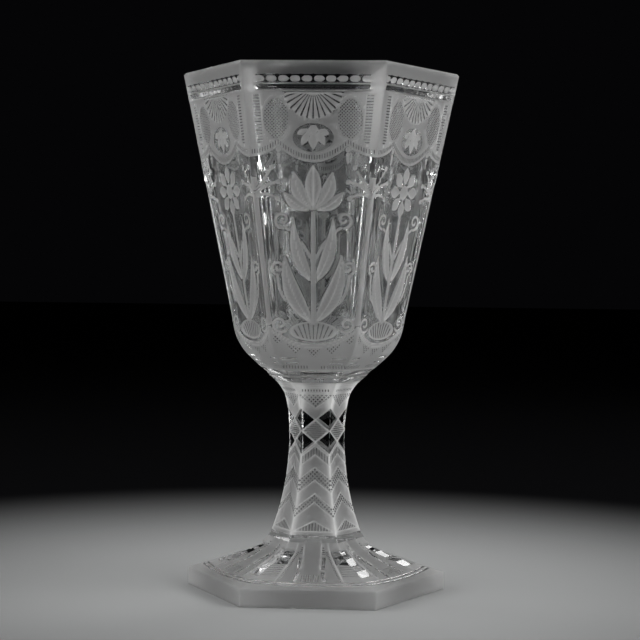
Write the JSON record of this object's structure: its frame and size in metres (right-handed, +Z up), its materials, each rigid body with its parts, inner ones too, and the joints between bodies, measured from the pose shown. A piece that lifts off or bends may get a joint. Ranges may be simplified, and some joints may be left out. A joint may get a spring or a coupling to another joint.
{
  "type": "goblet",
  "caption": "Tall hexagonal cut-glass goblet: tapering engraved bowl with a deep hollow, waisted stem and flared foot plate; holds a drink and stands on its foot.",
  "frame": {"origin": "middle of the underside of the foot, on the table", "axes": "+Z up along the axis to the rim; one flat side faces -Y; two corners lie on the X axis"},
  "size_m": [0.107, 0.0928, 0.2],
  "materials": {
    "engraved_glass": "clear polished glass, wheel-engraved with fine matt areas"
  },
  "bodies": {
    "root": {"bowl": "engraved_glass", "stem": "engraved_glass", "foot": "engraved_glass"}
  },
  "joints": []
}
